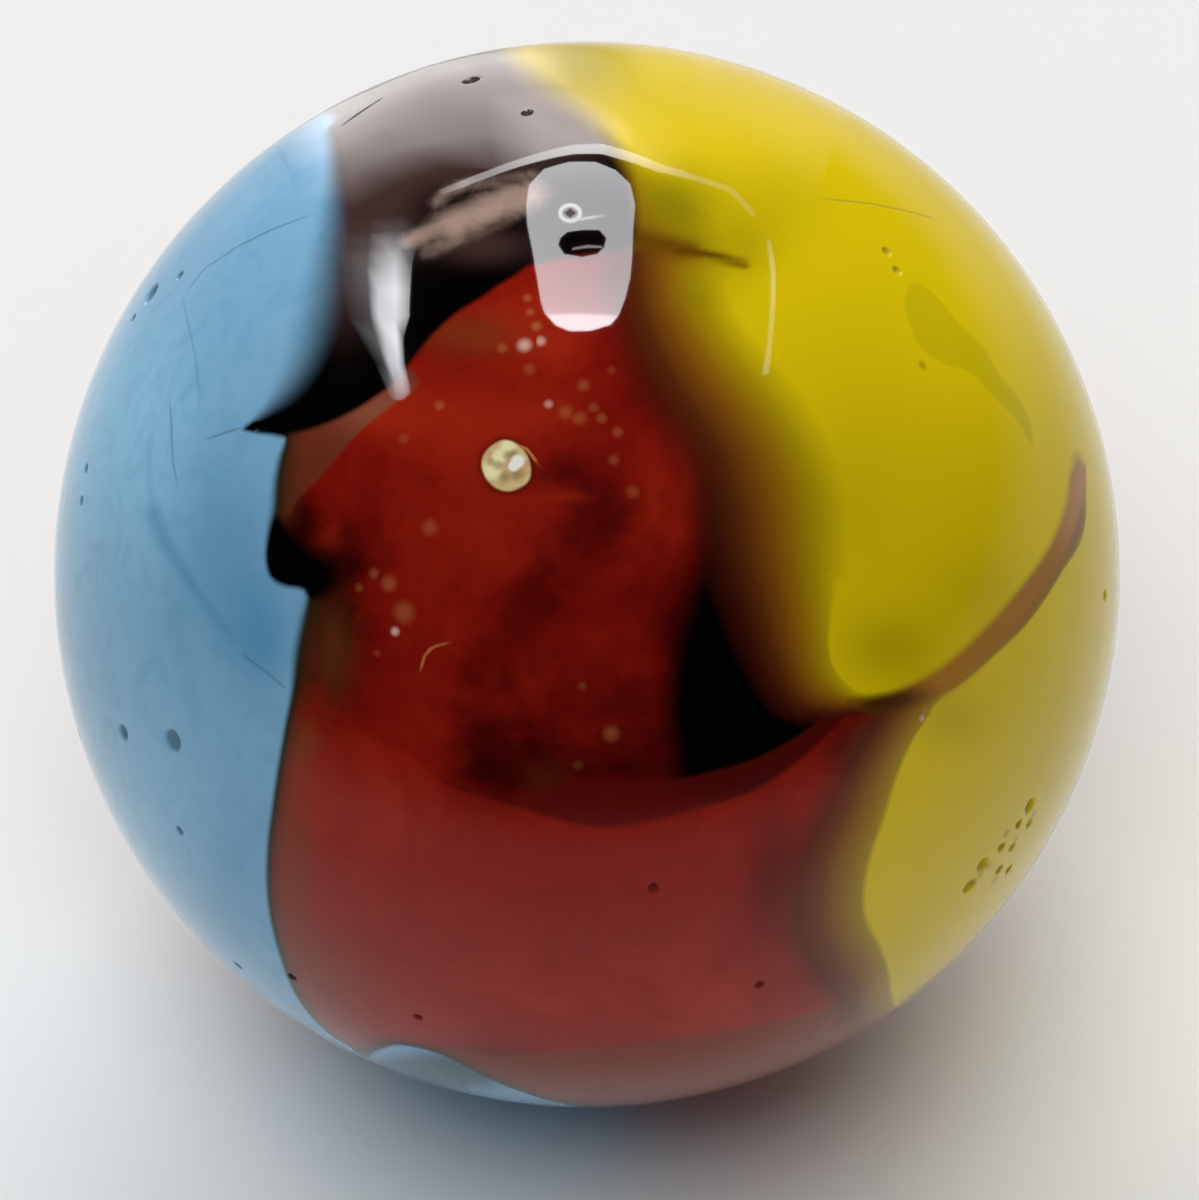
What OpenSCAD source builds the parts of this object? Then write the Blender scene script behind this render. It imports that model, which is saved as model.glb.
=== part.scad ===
// Glass marble: one solid ball of fused glass with the pits and the scratch that play has left on it.
// The origin is the centre of the ball. +Z is up, and the worn face looks towards -Y.

/* [Ball] */
// Diameter of the ball
ball_d = 16; // [12:0.5:50]

/* [Pits] */
// Width of the large pits
large_pit_d = 0.40; // [0.30:0.02:0.60]
// Depth of the large pits below their rim
large_pit_depth = 0.08; // [0.04:0.01:0.14]
// Width of the middling pits
middle_pit_d = 0.28; // [0.20:0.02:0.40]
// Depth of the middling pits below their rim
middle_pit_depth = 0.06; // [0.03:0.01:0.10]
// Width of the small pits
small_pit_d = 0.18; // [0.12:0.02:0.24]
// Depth of the small pits below their rim
small_pit_depth = 0.04; // [0.02:0.01:0.06]

/* [Scratch] */
// Length of the scratch from end to end
scratch_l = 0.9; // [0.4:0.1:1.6]
// Width of the scratch at its middle
scratch_w = 0.10; // [0.06:0.01:0.16]
// Depth of the scratch below the line between its ends
scratch_depth = 0.02; // [0.01:0.005:0.04]

/* [Hidden] */
$fn = 96;

ball_r = ball_d / 2;

// Places on the ball in degrees: how far round from the front (right is plus), then how far up.
// On the left flank, then in the chipped patch low on the right.
large_pits = [[-105, 34], [-51, 16]];
middle_pits = [
    [-59, 10], [-156, 59],
    [54, 3], [46, 1], [44, -1]
];
small_pits = [
    [-104, 40], [-103, 31], [-105, 17], [-83, 21], [-86, 23], [-48, 5], [-72, -5], [-42, -15],
    [54, 0], [52, 2], [51, -1], [49, 1], [51, -5], [49, -3],
    [-33, -8], [-18, -6], [7, 17], [18, 0],
    [-161, 71], [77, 12], [97, 57], [93, 56], [127, 31]
];
scratch_place = [-138, 52];
// How far the scratch's right end is turned up from level
scratch_turn = 3;

// How far the line between two points this far apart on the ball lies below its surface
function sink(width) = ball_r - sqrt(ball_r * ball_r - width * width / 4);

// Radius of the round cutter that leaves a hollow of this width and depth
function cutter_r(width, depth) = (width * width / 4 + depth * depth) / (2 * depth);

// Set the children on the ball's surface at a place, with -Y pointing straight out
module on_ball(place) {
    rotate([-place[1], 0, place[0]])
        translate([0, -ball_r, 0])
            children();
}

// A dimple, cut by a small ball
module pit(width, depth) {
    r = cutter_r(width, depth);
    translate([0, sink(width) + depth - r, 0])
        sphere(r = r);
}

module pits(places, width, depth) {
    for (place = places)
        on_ball(place)
            pit(width, depth);
}

// A groove that runs out at both ends, cut by the round rim of a wheel
module scratch() {
    wheel_r = cutter_r(scratch_l, scratch_depth);
    full_depth = sink(scratch_l) + scratch_depth;
    rim_r = cutter_r(scratch_w, full_depth);
    on_ball(scratch_place)
        translate([0, full_depth - wheel_r, 0])
            rotate([0, scratch_turn, 0])
                rotate_extrude()
                    translate([wheel_r - rim_r, 0])
                        circle(r = rim_r);
}

module marble() {
    color("firebrick")
        difference() {
            sphere(d = ball_d);
            pits(large_pits, large_pit_d, large_pit_depth);
            pits(middle_pits, middle_pit_d, middle_pit_depth);
            pits(small_pits, small_pit_d, small_pit_depth);
            scratch();
        }
}

marble();
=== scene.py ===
"""Looks of the glass marble: a worn ball of swirled opaque glass on a pale floor.

The ball is one mesh. The swirl is drawn as outlines, soft spots and hairlines that were placed
on the photograph, and mesh code turns them into fields on the ball that the material colours.
"""

import math

import bmesh
import bpy
import numpy as np
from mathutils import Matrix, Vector
from mathutils.kdtree import KDTree


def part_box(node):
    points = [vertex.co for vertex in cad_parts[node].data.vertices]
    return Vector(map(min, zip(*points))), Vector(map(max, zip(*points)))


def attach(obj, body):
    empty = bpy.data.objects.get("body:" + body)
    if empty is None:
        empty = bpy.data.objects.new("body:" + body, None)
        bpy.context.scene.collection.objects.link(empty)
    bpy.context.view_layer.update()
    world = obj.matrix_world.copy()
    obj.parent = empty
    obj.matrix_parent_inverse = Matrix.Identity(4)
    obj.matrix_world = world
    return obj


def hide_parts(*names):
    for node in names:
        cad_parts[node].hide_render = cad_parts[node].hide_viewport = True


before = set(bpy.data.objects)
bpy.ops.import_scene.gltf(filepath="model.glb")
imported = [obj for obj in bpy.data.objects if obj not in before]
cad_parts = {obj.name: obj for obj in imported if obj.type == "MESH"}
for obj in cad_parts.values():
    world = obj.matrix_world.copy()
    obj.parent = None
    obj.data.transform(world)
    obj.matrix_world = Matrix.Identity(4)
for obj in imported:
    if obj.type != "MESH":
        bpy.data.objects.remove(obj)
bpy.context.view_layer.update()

MM = 0.001

# Keeps divisions clear of zero
TINY = 1e-12

# The photograph's frame, and the ball in it, in pixels
PHOTO_W = 1199
BALL_X = 587.0
BALL_Y = 574.5
BALL_PX = 533.0
CENTRE_X = 599.5
CENTRE_Y = 600.0

# The photograph's view of the ball
VIEW_UP = math.radians(51)
VIEW_DISTANCE = 110 * MM

ball_low, ball_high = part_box("marble")
BALL_R = min(ball_high - ball_low) / 2
FLOOR_Z = ball_low.z

# Image axes in the part's frame: right, up, and towards the viewer
VIEW_RIGHT = np.array((1.0, 0.0, 0.0))
VIEW_TOP = np.array((0.0, math.sin(VIEW_UP), math.cos(VIEW_UP)))
VIEW_BACK = np.array((0.0, -math.cos(VIEW_UP), math.sin(VIEW_UP)))

# Where the outline lies on the ball, as an angle from the line of sight, and the lens in pixels
RIM = math.acos(BALL_R / VIEW_DISTANCE)
FOCAL_PX = BALL_PX / math.tan(math.asin(BALL_R / VIEW_DISTANCE))

# Wear, as in the solid: places in degrees round from the front and up, sizes in millimetres
LARGE_PITS = [(-105, 34), (-51, 16)]
MIDDLE_PITS = [(-59, 10), (-156, 59), (54, 3), (46, 1), (44, -1)]
SMALL_PITS = [
    (-104, 40), (-103, 31), (-105, 17), (-83, 21), (-86, 23), (-48, 5), (-72, -5), (-42, -15),
    (54, 0), (52, 2), (51, -1), (49, 1), (51, -5), (49, -3),
    (-33, -8), (-18, -6), (7, 17), (18, 0),
    (-161, 71), (77, 12), (97, 57), (93, 56), (127, 31),
]
PIT_SIZES = [(LARGE_PITS, 0.40, 0.08), (MIDDLE_PITS, 0.28, 0.06), (SMALL_PITS, 0.18, 0.04)]
SCRATCH_PLACE = (-138, 52)
SCRATCH_L = 0.9
SCRATCH_W = 0.10
SCRATCH_DEPTH = 0.02
SCRATCH_TURN = math.radians(3)

# Outlines of the swirl and of painted reflections: x and y in photograph pixels, and how soft the edge is
# there, in pixels.
# Past the ball's outline a point lies round the back: twice the ball's radius is straight behind.
BLUE_EDGE = [
    (328, 108, 10), (333, 130, 10), (338, 165, 14), (341, 210, 24), (338, 255, 32), (333, 300, 38),
    (324, 338, 38), (310, 370, 34), (291, 395, 26), (270, 412, 12), (252, 423, 4), (242, 427, 3),
    (256, 431, 3), (275, 433, 4), (287, 438, 4), (282, 455, 6), (277, 480, 7), (275, 508, 7),
    (269, 535, 5), (267, 558, 4), (272, 576, 4), (286, 584, 4), (303, 587, 4), (309, 598, 5),
    (303, 625, 7), (297, 655, 7), (293, 690, 5), (286, 725, 4), (279, 765, 4), (273, 805, 4),
    (268, 845, 4), (267, 885, 4), (271, 920, 4), (280, 955, 4), (291, 985, 4), (306, 1010, 4),
    (328, 1033, 4), (350, 1047, 4), (362, 1056, 4), (374, 1050, 4), (398, 1044, 4), (440, 1054, 4),
    (490, 1079, 4), (540, 1098, 4), (590, 1112, 5), (650, 1150, 8), (640, 1240, 10), (520, 1290, 10),
    (360, 1260, 10), (190, 1150, 10), (20, 1010, 12), (-110, 800, 12), (-150, 560, 12),
    (-90, 330, 12), (60, 150, 12), (200, 70, 12),
]
BAND_EDGE = [
    (270, 60, 10), (265, 200, 10), (262, 330, 10), (240, 412, 8), (234, 427, 6), (262, 440, 5),
    (290, 434, 4), (310, 429, 4), (335, 420, 4), (362, 406, 4), (388, 388, 4), (405, 370, 4),
    (418, 353, 4), (433, 335, 4), (457, 313, 4), (477, 301, 4), (497, 287, 4), (517, 275, 4),
    (530, 266, 5), (560, 259, 5), (600, 253, 6), (626, 250, 6), (634, 240, 7), (636, 222, 8),
    (635, 200, 9), (630, 175, 12), (614, 145, 18), (590, 117, 32), (560, 97, 32), (531, 77, 22),
    (506, 54, 14), (490, 36, 10), (480, -10, 12), (482, -70, 14), (478, -125, 16), (411, -183, 18),
    (227, -179, 18), (70, -90, 16), (-15, -10, 12), (111, -40, 14), (219, -50, 14), (264, -8, 12),
]
YELLOW_EDGE = [
    (500, 32, 18), (548, 92, 26), (602, 140, 20), (632, 165, 26), (655, 190, 36), (676, 214, 38),
    (694, 236, 36), (704, 256, 34), (698, 278, 32), (702, 300, 32), (712, 322, 34), (733, 355, 36),
    (760, 390, 38), (784, 425, 40), (801, 460, 42), (812, 500, 42), (815, 540, 40), (818, 590, 34),
    (822, 640, 28), (828, 672, 22), (842, 690, 12), (858, 697, 6), (885, 697, 6), (915, 688, 6),
    (950, 668, 6), (990, 630, 6), (1024, 590, 6), (1052, 551, 6), (1070, 510, 6), (1082, 470, 8),
    (1180, 470, 12), (1270, 500, 12), (1300, 390, 12), (1230, 260, 12), (1050, 60, 12), (830, -50, 12),
    (650, -60, 12), (540, -10, 10),
]
YELLOW_TIP_EDGE = [
    (820, 560, 30), (823, 590, 18), (825, 612, 10), (825, 632, 6), (827, 652, 4), (832, 670, 4),
    (845, 687, 4), (862, 694, 4), (890, 691, 5), (930, 671, 6), (960, 640, 8), (940, 590, 14),
    (880, 565, 20),
]
LOW_YELLOW_EDGE = [
    (938, 698, 20), (925, 718, 20), (908, 745, 22), (893, 780, 26), (880, 820, 30), (866, 860, 32),
    (860, 900, 30), (864, 925, 28), (877, 950, 26), (885, 972, 24), (890, 1000, 22), (905, 1025, 20),
    (1000, 1100, 10), (1180, 980, 12), (1300, 800, 12), (1340, 620, 12), (1300, 440, 12), (1190, 400, 12),
    (1096, 430, 10), (1084, 530, 10), (1060, 575, 8), (1030, 620, 8), (1000, 650, 10), (965, 680, 14),
]
STRIPE_EDGE = [
    (846, 702, 5), (870, 698, 6), (903, 689, 7), (945, 665, 8), (987, 627, 8), (1020, 590, 8),
    (1048, 551, 8), (1064, 512, 8), (1070, 482, 9), (1076, 456, 10), (1084, 464, 10), (1085, 492, 10),
    (1076, 532, 10), (1058, 573, 10), (1028, 616, 10), (998, 648, 10), (965, 680, 10), (935, 699, 9),
    (900, 710, 8), (870, 712, 6),
]
# Below this line the red is paler: partly its own colour, partly a painted reflection of the pale floor
FLOOR_REFLECTION_EDGE = [
    (230, 690, 4), (285, 692, 3), (300, 709, 3), (337, 724, 3), (381, 742, 3), (420, 762, 3),
    (445, 784, 3), (480, 796, 3), (520, 808, 4), (560, 820, 4), (601, 827, 5), (647, 822, 5),
    (692, 810, 4), (727, 801, 4), (761, 787, 4), (800, 760, 4), (830, 733, 4), (858, 708, 5),
    (910, 690, 6), (1010, 760, 8), (1010, 1000, 10), (900, 1180, 30), (590, 1300, 40),
    (300, 1230, 30), (180, 960, 10), (200, 760, 6),
]
DEPTH_EDGE = [
    (690, 380, 24), (704, 430, 24), (704, 500, 22), (690, 583, 20), (676, 640, 18), (668, 700, 16),
    (672, 745, 16), (684, 790, 16), (742, 800, 16), (800, 775, 16), (850, 720, 10), (850, 690, 16),
    (830, 640, 24), (826, 560, 24), (810, 470, 24), (770, 400, 24), (730, 365, 24),
]
OLIVE_EDGE = [
    (905, 305, 3), (910, 286, 3), (919, 284, 3), (940, 300, 3), (960, 325, 3), (985, 350, 3),
    (1001, 378, 3), (1020, 400, 3), (1031, 425, 3), (1032, 447, 3), (1019, 424, 3), (995, 398, 3),
    (972, 374, 3), (946, 365, 3), (923, 350, 3), (911, 328, 3),
]
STRIP_EDGE = [
    (270, 445, 3), (290, 428, 3), (330, 420, 3), (370, 398, 3), (405, 368, 4), (418, 380, 5),
    (413, 390, 4), (396, 402, 3), (380, 414, 3), (359, 432, 3), (338, 456, 3), (320, 477, 3),
    (299, 498, 3), (279, 527, 3), (268, 505, 3), (266, 470, 3),
]
SHELF_EDGE = [
    (285, 690, 3), (302, 714, 3), (314, 723, 3), (350, 735, 3), (386, 747, 3), (410, 759, 3),
    (434, 777, 3), (480, 792, 3), (530, 800, 4), (560, 785, 4), (600, 780, 3), (661, 781, 3),
    (712, 772, 3), (760, 757, 3), (800, 735, 3), (845, 706, 3), (860, 760, 6), (700, 860, 8),
    (560, 870, 8), (400, 820, 8), (300, 780, 8), (260, 730, 6),
]
# A red-brown strip along the bottom outline: a painted reflection of the floor's dark shadow under the
# ball
REFLECTED_SHADOW_EDGE = [
    (425, 1052, 6), (500, 1055, 5), (560, 1051, 5), (645, 1044, 5), (729, 1031, 5), (810, 1014, 5),
    (868, 993, 5), (905, 985, 8), (940, 1040, 10), (800, 1130, 10), (600, 1160, 10), (440, 1110, 10),
]
BLOB_EDGE = [
    (276, 516, 6), (294, 527, 14), (310, 542, 14), (325, 553, 14), (335, 565, 13), (337, 580, 12),
    (328, 594, 9), (314, 599, 5), (296, 592, 4), (260, 592, 4), (255, 555, 4), (264, 526, 4),
]

# Soft spots on the glass, some of them painted light and shade: x, y, half width, half height, and
# strength
# The wide spot low at 440, 1072 is partly deeper glass, partly painted shade on the blue where the ball
# meets its shadow
DARK_SPOTS = [
    (345, 530, 46, 52, 0.25), (375, 545, 40, 34, 0.3), (330, 650, 50, 90, 0.7), (640, 705, 60, 90, 0.45),
    (500, 775, 80, 44, 0.6), (640, 770, 90, 34, 0.6), (560, 700, 70, 50, 0.4), (610, 560, 50, 70, 0.15),
    (690, 610, 40, 60, 0.5), (890, 700, 50, 20, 0.8), (772, 880, 34, 90, 0.55), (600, 400, 40, 40, 0.15),
    (690, 700, 24, 90, 0.6), (440, 1072, 110, 26, 1.1), (327, 612, 14, 32, 1.2), (856, 745, 46, 34, 0.75),
    (660, 360, 40, 50, 0.4), (300, 520, 20, 34, 0.8), (340, 568, 26, 20, 0.6), (350, 640, 34, 60, 0.2),
    (562, 472, 34, 20, 0.5),
]
BRIGHT_SPOTS = [
    (440, 415, 100, 40, 0.6), (560, 415, 60, 30, 0.3), (480, 480, 90, 50, 0.35), (520, 320, 60, 40, 0.5),
    (329, 537, 14, 16, 1.3), (470, 550, 60, 50, 0.4), (560, 350, 40, 30, 0.5), (664, 500, 44, 70, 0.45),
    (430, 640, 40, 50, 0.25), (350, 810, 80, 60, 0.3), (560, 1000, 200, 50, 0.4),
    (720, 1010, 60, 40, 0.4), (1074, 500, 30, 50, 1.0), (372, 408, 40, 24, 0.5), (570, 496, 26, 6, 0.8),
]
BROWN_SPOTS = [
    (470, 335, 60, 26, 0.6), (334, 650, 26, 60, 0.6), (545, 780, 30, 24, 0.3), (296, 740, 26, 20, 0.5),
    (290, 850, 26, 150, 0.6), (330, 985, 60, 50, 0.5), (800, 915, 24, 70, 0.4), (876, 748, 30, 30, 0.7),
]
# Grey-brown haze on the near-black band: partly the glass's own tone, partly a painted reflection of the
# pale wall
SMOKE_AND_SHEEN_SPOTS = [
    (375, 200, 50, 60, 1.0), (450, 165, 90, 22, 0.8), (345, 290, 28, 60, 0.6), (470, 110, 130, 40, 0.8),
    (570, 110, 60, 50, 0.8), (486, 246, 52, 20, 0.8),
]
# Painted light: lighter yellow by the ball's right outline and top, lighter blue by its left outline
PAINTED_LIGHT_SPOTS = [
    (1000, 330, 110, 130, 0.9), (1090, 560, 70, 170, 1.1), (650, 62, 80, 40, 0.6),
    (115, 430, 110, 140, 0.9), (120, 680, 90, 150, 0.4), (150, 820, 80, 90, 0.4),
]
DEEP_SPOTS = [
    (225, 530, 60, 100, 0.5), (262, 640, 36, 60, 0.6), (235, 880, 50, 110, 0.4), (170, 620, 50, 60, 0.25),
]
# Partly olive where the yellow glass thins, partly painted shade, darker on the top of the yellow and
# towards its lower tip
OLIVE_AND_SHADE_SPOTS = [
    (890, 650, 60, 44, 0.5), (980, 590, 60, 50, 0.3), (850, 500, 60, 90, 0.3), (950, 720, 50, 40, 0.4),
    (700, 300, 40, 30, 0.4), (570, 66, 70, 50, 0.6), (770, 200, 90, 60, 0.4), (672, 205, 46, 44, 0.7),
    (690, 90, 110, 50, 0.3), (740, 255, 44, 36, 0.4),
]

# Soft strokes in the glass: half width in pixels, strength, and a run of pixel points
VEIL_STROKES = [
    (36, 0.56, [(604, 512), (560, 555), (525, 609), (492, 660), (474, 710), (482, 752)]),
    (44, 0.4, [(515, 640), (486, 700), (500, 760)]),
    (7, 0.3, [(352, 604), (340, 650), (330, 700)]),
]
BLUE_STROKES = [
    (15, 0.65, [(154, 512), (163, 536), (178, 562), (196, 590), (216, 616), (236, 640)]),
    (8, 0.4, [(150, 440), (149, 475), (154, 508)]),
    (9, 0.35, [(206, 540), (232, 588), (256, 630)]),
    (9, 0.6, [(254, 572), (262, 592), (272, 608)]),
    (20, 0.3, [(250, 470), (246, 520), (250, 560)]),
]
WEDGE_STROKES = [
    (15, 0.8, [(628, 236), (660, 244), (690, 250)]),
    (6, 0.95, [(680, 250), (712, 256), (744, 264)]),
]
TAN_STROKES = [
    (23, 1.0, [(526, 195), (500, 205), (476, 215), (454, 224)]),
    (12, 0.75, [(452, 222), (430, 232), (408, 240)]),
    (13, 0.45, [(530, 176), (500, 182), (472, 184)]),
    (13, 0.5, [(470, 184), (452, 190), (438, 202)]),
    (14, 0.5, [(470, 234), (452, 240), (434, 248)]),
]

# Hairlines in the glass: how dark, or below zero how pale, and a run of pixel points
HAIRLINES = [
    (1.0, [(183, 296), (205, 268), (240, 245), (275, 228), (312, 214)]),
    (0.8, [(170, 395), (172, 430), (173, 460), (178, 485)]),
    (0.5, [(182, 290), (188, 320), (196, 355), (200, 400)]),
    (0.7, [(240, 652), (262, 668), (286, 688)]),
    (1.0, [(242, 427), (225, 432), (208, 438)]),
    (0.7, [(815, 198), (870, 204), (905, 211), (942, 221)]),
    (1.8, [(336, 129), (352, 117), (368, 106), (388, 95)]),
    (-1.0, [(420, 671), (424, 656), (431, 647), (446, 643)]),
    (-1.5, [(518, 445), (527, 449), (532, 455), (537, 462)]),
]
# Hairlines: half width, that of the full tone, how far aside and past its end one still counts, in pixels
HAIRLINE_PX = 2.2
HAIRLINE_CORE = 0.5
HAIRLINE_REACH = 14
HAIRLINE_END = 8
HAIRLINE_FAR = 60.0
# A hairline fades at each end over its length divided by this
HAIRLINE_TAPERS = 8

# Bubbles and specks in the red glass: x, y, radius, and how pale they are
BUBBLES = [
    (440, 405, 6, 0.6), (404, 438, 6, 0.4), (549, 404, 5, 1.0), (566, 412, 8, 0.5), (580, 418, 8, 0.5),
    (594, 408, 6, 0.4), (602, 418, 6, 0.5), (618, 432, 6, 0.5), (614, 460, 6, 0.4), (633, 492, 7, 0.4),
    (430, 527, 9, 0.5), (374, 573, 6, 0.5), (389, 583, 9, 0.6),
    (359, 587, 5, 0.4), (404, 612, 12, 0.6), (395, 631, 5, 1.6), (377, 653, 4, 0.3),
    (582, 686, 5, 0.3), (611, 734, 9, 0.5), (578, 765, 6, 0.2), (525, 345, 8, 1.5), (541, 341, 6, 1.3),
    (503, 348, 6, 0.6), (530, 369, 7, 0.4), (584, 385, 7, 0.5), (612, 370, 5, 0.3), (537, 326, 6, 0.9),
    (528, 298, 5, 0.7), (531, 312, 5, 0.7), (926, 711, 6, 0.9), (922, 719, 4, 1.2),
]
# Small chips low on the yellow glass: x, y and radius
CHIP_MARKS = [
    (1029, 805, 5), (1033, 815, 4), (1018, 827, 4), (1006, 834, 5), (1003, 847, 4), (1015, 841, 4),
    (988, 866, 5), (1000, 869, 4), (980, 875, 5), (974, 884, 4), (994, 881, 5), (1006, 876, 4),
    (923, 366, 4),
]
# The tone that marks a speck as a chip
CHIP_TONE = -1.0
# The one pale bubble: its outline, and its cream patches, painted glints and dark patches by x, y and
# radius
PALE_BUBBLE_EDGE = [
    (482, 465, 2), (485, 453, 2), (493, 445, 2), (503, 440, 2), (514, 442, 2), (523, 449, 2),
    (529, 459, 2), (531, 470, 2), (529, 480, 2), (521, 487, 2), (509, 491, 2), (497, 488, 2),
    (487, 479, 2),
]
PALE_BUBBLE_CREAM = [(492, 470, 9), (500, 456, 7), (508, 446, 7)]
PALE_BUBBLE_GLINTS = [(514, 466, 5), (518, 461, 6)]
PALE_BUBBLE_SPECKS = [
    (498, 465, 4), (491, 462, 3.5), (508, 455, 4), (514, 453, 3.5), (505, 477, 4), (517, 474, 6),
]
# Where the cells of the ball are halved for the pale bubble's sake, and how wide, in millimetres
PALE_BUBBLE_MIDDLE = (507, 466)
PALE_BUBBLE_MM = 0.45

# The dark fringe follows the blue's outline, but is never softer than this, in pixels
FRINGE_SOFT = 8
FRINGE_EDGE = [(x, y, min(soft, FRINGE_SOFT)) for x, y, soft in BLUE_EDGE]

# The fields on the ball that these make, by name
OUTLINES = {
    "blue": BLUE_EDGE, "fringe": FRINGE_EDGE, "band": BAND_EDGE, "blob": BLOB_EDGE, "strip": STRIP_EDGE,
    "yellow": YELLOW_EDGE, "yellow_tip": YELLOW_TIP_EDGE, "low_yellow": LOW_YELLOW_EDGE,
    "stripe": STRIPE_EDGE, "olive_patch": OLIVE_EDGE, "floor_reflection": FLOOR_REFLECTION_EDGE, "depth": DEPTH_EDGE,
    "shelf": SHELF_EDGE, "rim": REFLECTED_SHADOW_EDGE, "pale_bubble": PALE_BUBBLE_EDGE,
}
SPOTS = {
    "dark": DARK_SPOTS, "bright": BRIGHT_SPOTS, "brown": BROWN_SPOTS, "smoke_and_sheen": SMOKE_AND_SHEEN_SPOTS,
    "glow": PAINTED_LIGHT_SPOTS, "deep": DEEP_SPOTS, "olive_and_shade": OLIVE_AND_SHADE_SPOTS,
}
STROKES = {"veil": VEIL_STROKES, "streak": BLUE_STROKES, "wedge": WEDGE_STROKES, "tan": TAN_STROKES}


def unit_from_chart(x, y):
    """Directions from the ball's centre to the places on it that these photograph pixels show."""
    across = (np.asarray(x, float) - BALL_X) / BALL_PX
    down = (np.asarray(y, float) - BALL_Y) / BALL_PX
    reach = np.hypot(across, down)
    sight = np.arctan(np.minimum(reach, 1) * BALL_PX / FOCAL_PX)
    sine = np.minimum(VIEW_DISTANCE * np.sin(sight) / BALL_R, 1)
    seen = np.arcsin(sine) - sight
    behind = RIM + (reach - 1) * (math.pi - RIM)
    polar = np.where(reach < 1, seen, behind)
    side = np.sin(polar) / np.maximum(reach, TINY)
    return (
        np.multiply.outer(across * side, VIEW_RIGHT)
        - np.multiply.outer(down * side, VIEW_TOP)
        + np.multiply.outer(np.cos(polar), VIEW_BACK)
    )


def chart_from_unit(unit):
    """The photograph pixels that show these places on the ball, carried on round the back."""
    across, up, back = unit @ VIEW_RIGHT, unit @ VIEW_TOP, unit @ VIEW_BACK
    polar = np.arccos(np.clip(back, -1, 1))
    sight = np.arctan2(BALL_R * np.sin(polar), VIEW_DISTANCE - BALL_R * back)
    seen = FOCAL_PX * np.tan(sight)
    behind = BALL_PX * (1 + (polar - RIM) / (math.pi - RIM))
    reach = np.where(polar < RIM, seen, behind) / np.maximum(np.hypot(across, up), TINY)
    return BALL_X + across * reach, BALL_Y - up * reach


def unit_from_degrees(turn, lift):
    turn, lift = math.radians(turn), math.radians(lift)
    return Vector((math.cos(lift) * math.sin(turn), -math.cos(lift) * math.cos(turn), math.sin(lift)))


def smooth_closed(points, step=3.0):
    """A smooth closed curve through given points, sampled about every step pixels."""
    points = np.array(points, float)
    samples = []
    for i in range(len(points)):
        before, start, end, after = (points[(i + k) % len(points)] for k in (-1, 0, 1, 2))
        count = max(2, int(np.hypot(*(end - start)[:2]) / step))
        t = (np.arange(count) / count)[:, None]
        samples.append(
            start
            + 0.5 * t * (end - before)
            + t ** 2 * (before - 2.5 * start + 2 * end - 0.5 * after)
            + t ** 3 * (1.5 * (start - end) + 0.5 * (after - before))
        )
    return np.concatenate(samples)


def nearest_on(curve_units, unit, closed):
    """For each place on the ball: the nearest stretch of a curve, and the distance to it in pixels."""
    tree = KDTree(len(curve_units))
    for i, place in enumerate(curve_units):
        tree.insert(place, i)
    tree.balance()
    index = np.array([tree.find(place)[1] for place in unit])
    count = len(curve_units)
    best = np.full(len(unit), np.inf)
    stretch = np.zeros(len(unit), int)
    for shift in (-1, 0):
        first = (index + shift) % count if closed else np.clip(index + shift, 0, count - 2)
        start = curve_units[first]
        along = curve_units[(first + 1) % count] - start
        length = np.maximum((along * along).sum(1), TINY)
        share = np.clip(((unit - start) * along).sum(1) / length, 0, 1)
        gap = np.linalg.norm(unit - start - share[:, None] * along, axis=1)
        nearer = gap < best
        best[nearer] = gap[nearer]
        stretch[nearer] = first[nearer]
    return stretch, best * BALL_PX


def inside_outline(x, y, curve):
    """Whether each chart point lies inside a closed curve, by counting crossings."""
    inside = np.zeros(len(x), bool)
    ends = np.roll(curve, -1, axis=0)
    for (x0, y0), (x1, y1) in zip(curve[:, :2], ends[:, :2]):
        if y0 == y1:
            continue
        crosses = (y0 > y) != (y1 > y)
        inside ^= crosses & (x < x0 + (y - y0) * (x1 - x0) / (y1 - y0))
    return inside


# The furthest that an outline's field counts, in units of its softness
FIELD_LIMIT = 12


def edge_field(unit, chart, outline):
    """Distance into an outline, in units of its softness there: 0 on the edge, more inside."""
    curve = smooth_closed(outline)
    stretch, gap = nearest_on(unit_from_chart(curve[:, 0], curve[:, 1]), unit, closed=True)
    sign = np.where(inside_outline(*chart, curve), 1.0, -1.0)
    return np.clip(sign * gap / curve[stretch, 2], -FIELD_LIMIT, FIELD_LIMIT)


def spot_field(chart, spots):
    """The sum of soft spots, each given by its place, half sizes and strength."""
    total = np.zeros(len(chart[0]))
    for x, y, wide, tall, strength in spots:
        total += strength * np.exp(-((chart[0] - x) / wide) ** 2 - ((chart[1] - y) / tall) ** 2)
    return total


# Samples of a run of points, for each point
RUN_STEPS = 24


def open_run(points):
    """Directions to places along an open run of pixel points."""
    run = np.array(points, float)
    steps = np.linspace(0, len(run) - 1, RUN_STEPS * len(run))
    x = np.interp(steps, range(len(run)), run[:, 0])
    y = np.interp(steps, range(len(run)), run[:, 1])
    return unit_from_chart(x, y)


def stroke_field(unit, strokes):
    """The strongest of some soft strokes at each place."""
    total = np.zeros(len(unit))
    for half_width, strength, points in strokes:
        gap = nearest_on(open_run(points), unit, closed=False)[1]
        total = np.maximum(total, strength * np.exp(-(gap / half_width) ** 2))
    return total


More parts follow.
